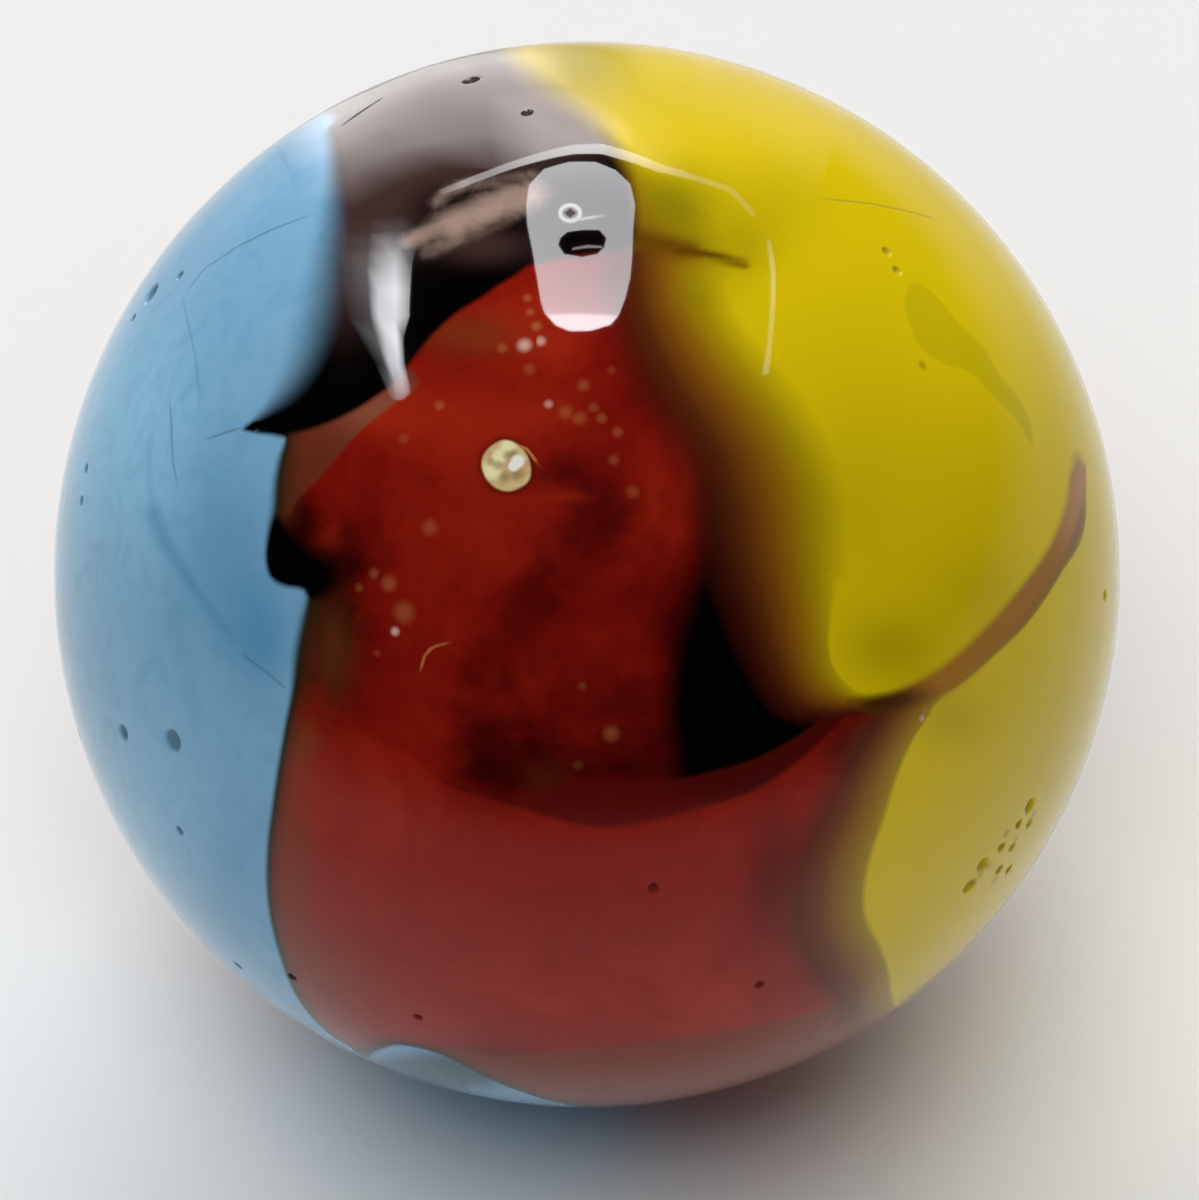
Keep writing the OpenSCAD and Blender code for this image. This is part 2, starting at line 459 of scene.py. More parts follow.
def hairline_fields(unit):
    """Side distance in pixels to the nearest hairline, and how much of that hairline is there."""
    side = np.full(len(unit), HAIRLINE_FAR)
    there = np.zeros(len(unit))
    nearest = np.full(len(unit), np.inf)
    for tone, points in HAIRLINES:
        curve = open_run(points)
        stretch, gap = nearest_on(curve, unit, closed=False)
        across = np.cross(curve[stretch], curve[stretch + 1])
        across /= np.maximum(np.linalg.norm(across, axis=1), TINY)[:, None]
        share = stretch / len(curve)
        sideways = (unit * across).sum(1) * BALL_PX
        past_end = np.sqrt(np.maximum(gap ** 2 - sideways ** 2, 0))
        strength = tone * np.clip(np.minimum(share, 1 - share) * HAIRLINE_TAPERS, 0, 1)
        strength *= np.clip(2 - gap / HAIRLINE_REACH, 0, 1)
        strength *= np.clip(1 - past_end / HAIRLINE_END, 0, 1)
        closer = gap < nearest
        side[closer] = sideways[closer]
        there[closer] = strength[closer]
        nearest[closer] = gap[closer]
    return np.clip(side, -HAIRLINE_FAR, HAIRLINE_FAR), there


def speck_fields(mesh, unit):
    """Each face corner's place as seen from the face's nearest speck, in radii, and the speck's tone."""
    chips = [(x, y, radius, CHIP_TONE) for x, y, radius in CHIP_MARKS]
    x, y, radius, tone = np.array(BUBBLES + chips).T
    centre = unit_from_chart(x, y)
    vertex = np.empty(len(mesh.loops), np.int32)
    mesh.loops.foreach_get("vertex_index", vertex)
    sides = np.empty(len(mesh.polygons), np.int32)
    mesh.polygons.foreach_get("loop_total", sides)
    face = np.repeat(np.arange(len(sides)), sides)
    middle = np.stack([np.bincount(face, unit[vertex, k]) for k in range(3)], -1) / sides[:, None]
    gaps = [np.linalg.norm(middle - centre[i], axis=1) / radius[i] for i in range(len(centre))]
    nearest = np.argmin(gaps, axis=0)[face]
    away = (unit[vertex] - centre[nearest]) * BALL_PX / radius[nearest, None]
    return away, tone[nearest]


# Cells along each edge of the ball's six grids, and cells that span a mark at the least
CELLS = 104
CELLS_PER_MARK = 8
# Cells are halved this share of a mark's size from its middle, and so many cells further
REFINED_SHARE = 0.65
REFINED_CELLS = 1.5
# Places whose directions have a greater dot product than this lie near each other
NEAR = 0.98
# Corners of the grids that agree to this many digits are one
MERGE_DIGITS = 7
UV_COLUMNS = 3
UV_MARGIN = 0.01


def cube_ball():
    """A unit ball of six even grids: its corners, its faces, and a square of the UV map for each grid."""
    steps = np.tan(np.linspace(-math.pi / 4, math.pi / 4, CELLS + 1))
    u, v = np.meshgrid(steps, steps, indexing="ij")
    flat = np.linspace(0, 1, CELLS + 1)
    flat_u, flat_v = np.meshgrid(flat, flat, indexing="ij")
    one = np.ones_like(u)
    sides = [(one, u, v), (-one, -u, v), (-u, one, v), (u, -one, v), (u, v, one), (-u, v, -one)]
    corners, faces, uvs = [], [], []
    index = np.arange((CELLS + 1) ** 2).reshape(CELLS + 1, CELLS + 1)
    quads = np.stack([index[:-1, :-1], index[1:, :-1], index[1:, 1:], index[:-1, 1:]], -1).reshape(-1, 4)
    for side, grid in enumerate(sides):
        corners.append(np.stack(grid, -1).reshape(-1, 3))
        faces.append(quads + side * index.size)
        column, row = side % UV_COLUMNS, side // UV_COLUMNS
        place_u = (column + UV_MARGIN + flat_u * (1 - 2 * UV_MARGIN)) / UV_COLUMNS
        place_v = (row + UV_MARGIN + flat_v * (1 - 2 * UV_MARGIN)) / 2
        uvs.append(np.stack([place_u, place_v], -1).reshape(-1, 2))
    corners = np.concatenate(corners)
    corners /= np.linalg.norm(corners, axis=1)[:, None]
    faces = np.concatenate(faces)
    uvs = np.concatenate(uvs)[faces.ravel()]
    rounded = np.round(corners, MERGE_DIGITS)
    first, merged = np.unique(rounded, axis=0, return_index=True, return_inverse=True)[1:]
    return corners[first], merged.reshape(-1)[faces], uvs


def wear_marks():
    """Every pit and the scratch: direction, then length, width and depth in millimetres, and its turn."""
    marks = []
    for places, width, depth in PIT_SIZES:
        for place in places:
            marks.append((unit_from_degrees(*place), width, width, depth, SCRATCH_TURN))
    place = unit_from_degrees(*SCRATCH_PLACE)
    sink = BALL_R / MM - math.sqrt((BALL_R / MM) ** 2 - SCRATCH_L ** 2 / 4)
    marks.append((place, SCRATCH_L, SCRATCH_W, SCRATCH_DEPTH + sink, SCRATCH_TURN))
    return marks


def mark_axes(place, turn):
    """The level direction at a place on the ball, turned up by an angle, and the direction across it."""
    level = Vector((0, 0, 1)).cross(place).normalized()
    upright = place.cross(level)
    along = level * math.cos(turn) + upright * math.sin(turn)
    return along, place.cross(along)


def refine_near_marks(mesh, marks):
    """Halve the cells near each mark until enough of them span it."""
    bm = bmesh.new()
    bm.from_mesh(mesh)
    spacing = math.pi / 2 / CELLS * BALL_R / MM
    while min(mark[2] for mark in marks) < CELLS_PER_MARK * spacing:
        edges = list(bm.edges)
        middles = np.array([(edge.verts[0].co + edge.verts[1].co) / 2 for edge in edges])
        chosen = np.zeros(len(edges), bool)
        for place, length, width, depth, turn in marks:
            if width >= CELLS_PER_MARK * spacing:
                continue
            near = middles @ np.array(place) > NEAR
            for axis, size in zip(mark_axes(place, turn), (length, width)):
                reach = (REFINED_SHARE * size + REFINED_CELLS * spacing) * MM / BALL_R
                near &= np.abs(middles @ np.array(axis)) < reach
            chosen |= near
        picked = [edges[i] for i in np.flatnonzero(chosen)]
        bmesh.ops.subdivide_edges(bm, edges=picked, cuts=1, use_grid_fill=True)
        wide = [face for face in bm.faces if len(face.verts) > 4]
        bmesh.ops.triangulate(bm, faces=wide)
        spacing /= 2
    bm.to_mesh(mesh)
    bm.free()


def sink_marks(unit, marks):
    """Depth of wear at each place on the ball, in millimetres, and as a share of the mark's depth."""
    depth_mm = np.zeros(len(unit))
    worn = np.zeros(len(unit))
    for place, length, width, depth, turn in marks:
        along, across = mark_axes(place, turn)
        near = unit @ np.array(place) > NEAR
        u = unit[near] @ np.array(along) * BALL_R / MM / (length / 2)
        v = unit[near] @ np.array(across) * BALL_R / MM / (width / 2)
        share = np.clip(1 - u ** 2 - v ** 2, 0, 1)
        depth_mm[near] = np.maximum(depth_mm[near], depth * share)
        worn[near] = np.maximum(worn[near], share)
    return depth_mm, worn


def new_object(name, data):
    made = bpy.data.objects.new(name, data)
    bpy.context.scene.collection.objects.link(made)
    return made


def add_field(mesh, name, values, domain="POINT"):
    mesh.attributes.new(name, "FLOAT", domain).data.foreach_set("value", values)


def build_marble():
    corners, faces, uvs = cube_ball()
    mesh = bpy.data.meshes.new("glass_ball")
    mesh.from_pydata(corners.tolist(), [], faces.tolist())
    layer = mesh.uv_layers.new(name="OFBake")
    layer.uv.foreach_set("vector", uvs.ravel())
    marks = wear_marks()
    bubble = Vector(unit_from_chart(*PALE_BUBBLE_MIDDLE))
    refine_near_marks(mesh, marks + [(bubble, PALE_BUBBLE_MM, PALE_BUBBLE_MM, 0.0, 0.0)])

    unit = np.empty(len(mesh.vertices) * 3)
    mesh.vertices.foreach_get("co", unit)
    unit = unit.reshape(-1, 3)
    unit /= np.linalg.norm(unit, axis=1)[:, None]
    depth_mm, worn = sink_marks(unit, marks)
    place = unit * (BALL_R - depth_mm * MM)[:, None]
    mesh.vertices.foreach_set("co", place.ravel())

    chart = chart_from_unit(unit)
    side, there = hairline_fields(unit)
    fields = {"hair_side": side, "hair_there": there, "worn": worn}
    for name, outline in OUTLINES.items():
        fields[name] = edge_field(unit, chart, outline)
    for name, spots in SPOTS.items():
        fields[name] = spot_field(chart, spots)
    for name, strokes in STROKES.items():
        fields[name] = stroke_field(unit, strokes)
    for name, values in fields.items():
        add_field(mesh, name, values)
    away, tone = speck_fields(mesh, unit)
    mesh.attributes.new("speck_away", "FLOAT_VECTOR", "CORNER").data.foreach_set("vector", away.ravel())
    add_field(mesh, "speck_tone", tone, "CORNER")
    mesh.polygons.foreach_set("use_smooth", [True] * len(mesh.polygons))
    mesh.update()
    return new_object("glass_marble", mesh)


class Tree:
    """Short calls for building a node tree."""

    def __init__(self, tree):
        self.tree = tree
        tree.nodes.clear()

    def plug(self, socket, value):
        if isinstance(value, bpy.types.NodeSocket):
            self.tree.links.new(value, socket)
        else:
            socket.default_value = value

    def node(self, kind, inputs=None, **settings):
        made = self.tree.nodes.new(kind)
        for name, value in settings.items():
            setattr(made, name, value)
        for name, value in (inputs or {}).items():
            self.plug(made.inputs[name], value)
        return made

    def field(self, name, output="Fac"):
        return self.node("ShaderNodeAttribute", attribute_name=name).outputs[output]

    def math(self, operation, a, b=0.0):
        return self.node("ShaderNodeMath", {0: a, 1: b}, operation=operation).outputs[0]

    def times(self, a, b):
        return self.math("MULTIPLY", a, b)

    def step(self, value, low, high):
        inputs = {"Value": value, "From Min": low, "From Max": high}
        return self.node("ShaderNodeMapRange", inputs, interpolation_type="SMOOTHSTEP").outputs["Result"]

    def level(self, name, low=-1.0, high=1.0):
        """A field, eased from 0 where it is low to 1 where it is high."""
        return self.step(self.field(name), low, high)

    def mix(self, factor, a, b, blend="MIX"):
        inputs = {"Factor": factor, "A": a, "B": b}
        return self.node("ShaderNodeMix", inputs, data_type="RGBA", blend_type=blend).outputs["Result"]

    def ramp(self, value, stops):
        """Colour and cover by a value, from stops given by the value there and a colour."""
        low, high = stops[0][0], stops[-1][0]
        scaled = self.node("ShaderNodeMapRange", {"Value": value, "From Min": low, "From Max": high})
        made = self.node("ShaderNodeValToRGB", {"Fac": scaled.outputs["Result"]})
        elements = made.color_ramp.elements
        while len(elements) < len(stops):
            elements.new(0.5)
        for element, (at, colour) in zip(elements, stops):
            element.position = (at - low) / (high - low)
            element.color = colour
        return made.outputs["Color"], made.outputs["Alpha"]

    def noise(self, place, scale, detail, distortion=0.0):
        inputs = {"Vector": place, "Scale": scale, "Detail": detail, "Distortion": distortion}
        return self.node("ShaderNodeTexNoise", inputs).outputs["Fac"]

    def length(self, vector, start=(0.0, 0.0, 0.0)):
        inputs = {0: vector, 1: start}
        return self.node("ShaderNodeVectorMath", inputs, operation="DISTANCE").outputs["Value"]

    def speck(self, low, high):
        """How far into the nearest speck: 0 at low radii from its centre, and 1 at high."""
        return self.step(self.length(self.field("speck_away", "Vector")), low, high)

    def spot(self, place, x, y, radius, soft):
        """A round spot at photograph pixel x, y: 1 inside and 0 outside its radius in pixels."""
        gap = self.length(place, unit_from_chart(x, y) * BALL_R)
        reach = radius / BALL_PX * BALL_R
        return self.step(gap, reach * (1 + soft), reach * (1 - soft))

    def surface(self, shader, kind="ShaderNodeOutputMaterial"):
        self.node(kind, {"Surface": shader.outputs[0]})


def new_material(name):
    """A new material, and the short calls for its node tree."""
    material = bpy.data.materials.new(name)
    material.use_nodes = True
    return material, Tree(material.node_tree)


def rgb(red, green, blue, alpha=1.0):
    return (red, green, blue, alpha)


# Colours of the glasses
RED = rgb(0.23, 0.006, 0.003)
RED_BRIGHT = rgb(0.40, 0.021, 0.006)
RED_DEEP = rgb(0.034, 0.001, 0.001)
# Red below the mirrored horizon, lightened by a painted reflection of the pale floor
RED_WITH_FLOOR_REFLECTION = rgb(0.28, 0.010, 0.004)
RED_BRIGHT_WITH_FLOOR_REFLECTION = rgb(0.50, 0.036, 0.014)
RED_SHELF = rgb(0.10, 0.005, 0.004)
BROWN = rgb(0.18, 0.048, 0.011)
STRIP_BROWN = rgb(0.15, 0.034, 0.014)
STRIP_PALE = rgb(0.27, 0.09, 0.05)
BLACK = rgb(0.001, 0.0005, 0.0005)
# Grey-brown of the band's haze, partly a painted reflection
SMOKE_AND_SHEEN = rgb(0.055, 0.027, 0.024)
TAN = rgb(0.40, 0.27, 0.22)
BLUE = rgb(0.23, 0.475, 0.70)
# Blue lightened by painted light
BLUE_PAINTED_LIT = rgb(0.30, 0.63, 0.89)
BLUE_DEEP = rgb(0.075, 0.30, 0.53)
BLUE_SHADED = rgb(0.06, 0.13, 0.18)
YELLOW = rgb(0.83, 0.61, 0.003)
# Yellow lightened by painted light
YELLOW_PAINTED_LIT = rgb(0.95, 0.71, 0.004)
# Olive yellow, also laid on as painted shade
YELLOW_OLIVE_AND_SHADE = rgb(0.24, 0.20, 0.002)
STRIPE = rgb(0.46, 0.19, 0.012)
STRIPE_PALE = rgb(0.60, 0.28, 0.08)
STRIPE_DARK = rgb(0.07, 0.022, 0.002)
# Red-brown of the painted reflection of the floor's shadow
REFLECTED_SHADOW_BROWN = rgb(0.23, 0.032, 0.006)
WEDGE_BROWN = rgb(0.14, 0.055, 0.002)
PALE = rgb(0.60, 0.22, 0.07)
WHITISH = rgb(0.85, 0.52, 0.42)
CREAM = rgb(0.95, 0.90, 0.48)
CREAM_DULL = rgb(0.78, 0.62, 0.28)
CREAM_DARK = rgb(0.24, 0.19, 0.07)
# Cream of the painted glints
CREAM_GLINT = rgb(1.0, 1.0, 0.92)
PEACH = rgb(0.68, 0.42, 0.22)
PIT_DARK = rgb(0.02, 0.018, 0.012)
CHIP_DARK = rgb(0.26, 0.17, 0.006)
HAIR_DARK = rgb(0.05, 0.08, 0.08)
OLIVE_TINT = rgb(0.80, 0.84, 0.8)

# How much each of these hides of the glass below it
BROWN_COVER = 0.8
STRIP_COVER = 0.85
SHELF_COVER = 0.75
DARK_COVER = 0.9
REFLECTED_SHADOW_COVER = 0.85
BUBBLE_COVER = 0.5
BUBBLE_MOST = 0.8
BUBBLE_SHADOW_RING_COVER = 0.45
BUBBLE_SPECK_COVER = 0.6
PATCH_COVER = 0.8
WISP_COVER = 0.25
HAIR_COVER = 0.45
PALE_HAIR_COVER = 0.6
CHIP_COVER = 0.5

# Noise in the glass: cells to the metre, and how much it counts
CLOUD_SCALE = 700
CLOUD_SHARE = 0.9
GRAIN_SCALE = 3600
GRAIN_SHARE = 0.4
MOTTLE_SCALE = 2600
MOTTLE_SHARE = 0.7
WISP_SCALE = 1500
CURD_SCALE = 5000

# Where a bubble and a chip begin and are full, in radii, and the tone above which a bubble is whitish
BUBBLE_FADE = (1.26, 0.14)
CHIP_FADE = (1.7, 0.3)
WHITISH_TONE = 0.95
# Inside, the low yellow's field counts this much more
LOW_YELLOW_RISE = 4.0


def red_glass(t, place):
    """Clouded red glass with its darker veils and brown edges; below the mirrored horizon a paler red
    that is partly a painted reflection of the pale floor, and along the bottom outline a painted
    reflection of the floor's dark shadow.
    """
    cloud = t.math("SUBTRACT", t.noise(place, CLOUD_SCALE, 4.0, 0.8), 0.5)
    fine = t.math("SUBTRACT", t.noise(place, GRAIN_SCALE, 3.0, 0.4), 0.5)
    grain = t.math("ADD", t.times(cloud, CLOUD_SHARE), t.times(fine, GRAIN_SHARE))
    glow = t.math("ADD", t.field("bright"), grain)
    shade = t.math("SUBTRACT", t.math("ADD", t.field("dark"), t.field("veil")), grain)
    brown = t.times(t.level("brown", 0.0, 1.0), BROWN_COVER)

    red = t.mix(t.step(glow, -0.1, 1.0), RED, RED_BRIGHT)
    red = t.mix(t.step(shade, 0.0, 1.2), red, RED_DEEP)
    red = t.mix(brown, red, BROWN)
    strip = t.mix(t.level("bright", 0.0, 0.9), STRIP_BROWN, STRIP_PALE)
    red = t.mix(t.times(t.level("strip"), STRIP_COVER), red, strip)
    red = t.mix(t.level("depth"), red, BLACK)
    red = t.mix(t.times(t.level("shelf"), SHELF_COVER), red, RED_SHELF)

    # Below the mirrored horizon: red lightened by a painted reflection of the pale floor
    below = t.mix(t.step(glow, -0.2, 1.2), RED_WITH_FLOOR_REFLECTION, RED_BRIGHT_WITH_FLOOR_REFLECTION)
    below = t.mix(t.times(t.level("dark", 0.0, 1.0), DARK_COVER), below, RED_DEEP)
    below = t.mix(brown, below, BROWN)
    # Painted reflection of the floor's dark shadow along the bottom outline
    below = t.mix(t.times(t.level("rim"), REFLECTED_SHADOW_COVER), below, REFLECTED_SHADOW_BROWN)
    return t.mix(t.level("floor_reflection"), red, below)


def add_bubbles(t, place, colour):
    """Small bubbles and specks near the surface, and the one pale bubble with its painted glints and a
    painted shadow ring round it.
    """
    tone = t.field("speck_tone")
    strength = t.times(t.math("MAXIMUM", tone, 0.0), BUBBLE_COVER)
    strength = t.math("MINIMUM", strength, BUBBLE_MOST)
    pale = t.mix(t.math("GREATER_THAN", tone, WHITISH_TONE), PALE, WHITISH)
    colour = t.mix(t.times(t.speck(*BUBBLE_FADE), strength), colour, pale)
    # Painted shadow: a dark ring round the pale bubble
    ring = t.times(t.level("pale_bubble", -4.0, 0.0), BUBBLE_SHADOW_RING_COVER)
    colour = t.mix(ring, colour, RED_DEEP)
    inside = t.mix(t.step(t.noise(place, CURD_SCALE, 2.0), 0.35, 0.65), PEACH, CREAM_DULL)
    for patch in PALE_BUBBLE_CREAM:
        inside = t.mix(t.spot(place, *patch, 0.5), inside, CREAM)
    for speck in PALE_BUBBLE_SPECKS:
        cover = t.times(t.spot(place, *speck, 0.8), BUBBLE_SPECK_COVER)
        inside = t.mix(cover, inside, CREAM_DARK)
    # Painted highlights on the pale bubble
    for glint in PALE_BUBBLE_GLINTS:
        inside = t.mix(t.spot(place, *glint, 0.35), inside, CREAM_GLINT)
    return t.mix(t.level("pale_bubble", -0.8, 0.8), colour, inside)


# Yellow glass by the distance into it, from where it thins out: upper part, then low part
YELLOW_STOPS = [
    (-3.2, rgb(0.08, 0.006, 0.003, 0.0)),
    (-2.4, rgb(0.07, 0.010, 0.003, 0.75)),
    (-1.8, rgb(0.11, 0.025, 0.004, 1.0)),
    (-1.2, rgb(0.22, 0.07, 0.005, 1.0)),
    (-0.6, rgb(0.34, 0.16, 0.004, 1.0)),
    (0.0, rgb(0.46, 0.32, 0.003, 1.0)),
    (0.9, YELLOW),
]
LOW_YELLOW_STOPS = [
    (-3.2, rgb(0.16, 0.014, 0.005, 0.0)),
    (-2.2, rgb(0.10, 0.018, 0.005, 0.7)),
    (-1.4, rgb(0.20, 0.06, 0.008, 1.0)),
    (-0.5, rgb(0.36, 0.18, 0.012, 1.0)),
    (0.0, rgb(0.42, 0.28, 0.004, 1.0)),
    (0.9, YELLOW),
]


def yellow_glass(t, colour):
    """Yellow glass that thins to brown along its left edge, and the brown stripe across it."""
    low = t.field("low_yellow")
    low = t.math("MAXIMUM", low, t.times(low, LOW_YELLOW_RISE))
    upper = t.math("MAXIMUM", t.field("yellow"), t.field("yellow_tip"))
    low_yellow, low_cover = t.ramp(low, LOW_YELLOW_STOPS)
    yellow, cover = t.ramp(upper, YELLOW_STOPS)
    yellow = t.mix(t.step(t.math("SUBTRACT", low, upper), -0.3, 0.3), yellow, low_yellow)
    inside = t.step(t.math("MAXIMUM", low, upper), 0.0, 1.5)
    # Painted light: the yellow lighter by the ball's right outline and top
    yellow = t.mix(t.times(t.level("glow", 0.0, 1.0), inside), yellow, YELLOW_PAINTED_LIT)
    # Olive tint and painted shade: darker on the top of the yellow and towards its lower tip
    yellow = t.mix(t.level("olive_and_shade", 0.0, 1.2), yellow, YELLOW_OLIVE_AND_SHADE)
    patch = t.times(t.level("olive_patch"), PATCH_COVER)
    yellow = t.mix(patch, yellow, OLIVE_TINT, "MULTIPLY")
    yellow = t.mix(t.level("wedge", 0.0, 1.0), yellow, WEDGE_BROWN)
    colour = t.mix(t.math("MAXIMUM", cover, low_cover), colour, yellow)
    stripe = t.mix(t.level("dark", 0.0, 0.9), STRIPE, STRIPE_DARK)
    stripe = t.mix(t.level("bright", 0.0, 1.0), stripe, STRIPE_PALE)
    return t.mix(t.level("stripe"), colour, stripe)


# The blue glass's dark edge on the red, from where it begins
FRINGE_STOPS = [
    (-5.0, rgb(0.06, 0.022, 0.008, 0.0)),
    (-2.0, rgb(0.05, 0.020, 0.007, 0.5)),
    (-0.8, rgb(0.028, 0.018, 0.007, 0.9)),
    (0.0, rgb(0.024, 0.026, 0.016, 1.0)),
    (1.0, rgb(0.05, 0.10, 0.12, 1.0)),
]


def blue_glass(t, place, colour):
    """The dark edge of the blue glass on the red, the near-black band, and the blue glass over both."""
    edge, cover = t.ramp(t.field("fringe"), FRINGE_STOPS)
    colour = t.mix(cover, colour, edge)
    colour = t.mix(t.level("blob"), colour, BLACK)
    wisp = t.noise(place, WISP_SCALE, 4.0, 1.5)
    # Haze on the near-black band: partly its own tone, partly a painted reflection of the pale wall
    band = t.mix(t.level("smoke_and_sheen", 0.0, 1.0), BLACK, SMOKE_AND_SHEEN)
    mottle = t.math("SUBTRACT", t.noise(place, MOTTLE_SCALE, 3.0, 1.0), 0.5)
    tan = t.math("ADD", t.field("tan"), t.times(mottle, MOTTLE_SHARE))
    tan = t.times(t.step(tan, 0.0, 1.1), t.level("tan", 0.02, 0.4))
    band = t.mix(tan, band, TAN)
    colour = t.mix(t.level("band"), colour, band)
    # Painted light: the blue lighter by the ball's left outline
    blue = t.mix(t.level("glow", 0.0, 1.0), BLUE, BLUE_PAINTED_LIT)
    blue = t.mix(t.times(t.step(wisp, 0.4, 0.8), WISP_COVER), blue, BLUE_DEEP)
    deep = t.math("MAXIMUM", t.field("streak"), t.field("deep"))
    blue = t.mix(t.step(deep, 0.0, 1.1), blue, BLUE_DEEP)
    # The dark spots turn the blue grey; the wide low one by the bottom outline is partly painted shade
    blue = t.mix(t.level("dark", 0.3, 1.0), blue, BLUE_SHADED)
    return t.mix(t.level("blue", -0.5, 1.4), colour, blue)


# The gloss of clean glass, and how it changes in a pit
GLASS_IOR = 1.5
GLASS_ROUGHNESS = 0.03
GLASS_SPECULAR = 0.3
WORN_ROUGHER = 0.5
WORN_DULLER = 0.2
# How much darker a pit is painted, and how much less on the yellow
PIT_DARK_COVER = 0.55
PIT_DARK_LESS = 0.3


def glass_material():
    material, t = new_material("swirled_glass")
    place = t.node("ShaderNodeTexCoord").outputs["Object"]
    colour = red_glass(t, place)
    colour = yellow_glass(t, colour)
    colour = add_bubbles(t, place, colour)
    colour = blue_glass(t, place, colour)
    hair = t.step(t.math("ABSOLUTE", t.field("hair_side")), HAIRLINE_PX, HAIRLINE_CORE)
    hair = t.times(hair, t.field("hair_there"))
    colour = t.mix(t.times(t.math("MAXIMUM", hair, 0.0), HAIR_COVER), colour, HAIR_DARK)
    colour = t.mix(t.times(t.math("MINIMUM", hair, 0.0), -PALE_HAIR_COVER), colour, PALE)
    chip = t.times(t.math("LESS_THAN", t.field("speck_tone"), 0.0), CHIP_COVER)
    colour = t.mix(t.times(t.speck(*CHIP_FADE), chip), colour, CHIP_DARK)
    worn = t.level("worn", 0.0, 0.6)
    on_yellow = t.step(t.math("MAXIMUM", t.field("yellow"), t.field("low_yellow")), 0.0, 1.0)
    # Pits painted darker
    pit_dark = t.math("SUBTRACT", PIT_DARK_COVER, t.times(on_yellow, PIT_DARK_LESS))
    colour = t.mix(t.times(worn, pit_dark), colour, PIT_DARK)

    t.surface(t.node("ShaderNodeBsdfPrincipled", {
        "Base Color": colour,
        "Roughness": t.math("ADD", t.times(worn, WORN_ROUGHER), GLASS_ROUGHNESS),
        "Specular IOR Level": t.math("SUBTRACT", GLASS_SPECULAR, t.times(worn, WORN_DULLER)),
        "IOR": GLASS_IOR,
    }))
    return material


# The floor: its colour and sides, and where it begins to fade and ends
FLOOR_COLOUR = rgb(0.90, 0.90, 0.89)
FLOOR_SIDES = 96
FLOOR_FADE = 12 * MM
FLOOR_R = 40 * MM


def floor_material():
    material, t = new_material("pale_floor")
    plain = t.node("ShaderNodeBsdfDiffuse", {"Color": FLOOR_COLOUR}).outputs[0]
    clear = t.node("ShaderNodeBsdfTransparent").outputs[0]
    reach = t.length(t.node("ShaderNodeTexCoord").outputs["Object"])
    fade = t.step(reach, FLOOR_FADE, FLOOR_R)
    t.surface(t.node("ShaderNodeMixShader", {0: fade, 1: plain, 2: clear}))
    return material


def card_material(name, colour):
    material, t = new_material(name)
    t.surface(t.node("ShaderNodeEmission", {"Color": colour, "Strength": t.field("glow")}))
    return material


def link_mesh(name, corners, faces):
    mesh = bpy.data.meshes.new(name)
    mesh.from_pydata(corners, [], faces)
    return new_object(name, mesh)


def build_floor():
    turns = [2 * math.pi * i / FLOOR_SIDES for i in range(FLOOR_SIDES)]
    ring = [(FLOOR_R * math.cos(turn), FLOOR_R * math.sin(turn), FLOOR_Z) for turn in turns]
    floor = link_mesh("floor", ring, [tuple(range(FLOOR_SIDES))])
    floor.data.materials.append(floor_material())


def mirrored(x, y, distance):
    """The point out in the room that the ball mirrors at a photograph pixel."""
    normal = unit_from_chart(x, y)
    eye = VIEW_BACK * VIEW_DISTANCE
    sight = normal * BALL_R - eye
    sight /= np.linalg.norm(sight)
    bounce = sight - 2 * (sight @ normal) * normal
    return normal * BALL_R + bounce * distance


def build_card(name, colour, rows, distance):
    """A glowing card that only gloss shows: rows of photograph pixels, each with the glow there."""
    points = [point for row in rows for point in row]
    corners = [tuple(mirrored(x, y, distance)) for x, y, glow in points]
    across = len(rows[0])
    faces = []
    for row in range(len(rows) - 1):
        for i in range(row * across, (row + 1) * across - 1):
            faces.append((i, i + 1, i + 1 + across, i + across))
    card = link_mesh(name, corners, faces)
    add_field(card.data, "glow", [glow for x, y, glow in points])
    card.data.materials.append(card_material(name, colour))
    card.visible_camera = False
    card.visible_diffuse = False
    card.visible_shadow = False


# Rows of the cards: photograph pixels that mirror them, each with the glow there
WINDOW_ROWS = [
    [(570, 162, 12), (596, 162, 12)], [(545, 169, 12), (616, 170, 12)], [(530, 185, 12), (631, 184, 12)],
    [(527, 205, 13), (636, 205, 12)], [(528, 225, 14), (634, 228, 13)], [(533, 250, 15), (633, 255, 14)],
    [(538, 280, 17), (631, 278, 15)], [(541, 300, 18), (626, 298, 17)], [(545, 313, 20), (620, 314, 19)],
    [(549, 317, 34), (617, 318, 34)], [(556, 325, 34), (611, 325, 34)], [(570, 331, 34), (590, 331, 34)],
]
LENS_ROWS = [
    [(559, 245, 0.1), (561, 238, 0.1)], [(565, 254, 0.1), (568, 232, 0.1)],
    [(583, 257, 0.1), (583, 230, 0.1)], [(598, 254, 0.1), (600, 230, 0.1)],
    [(605, 247, 0.1), (607, 238, 0.1)],
]
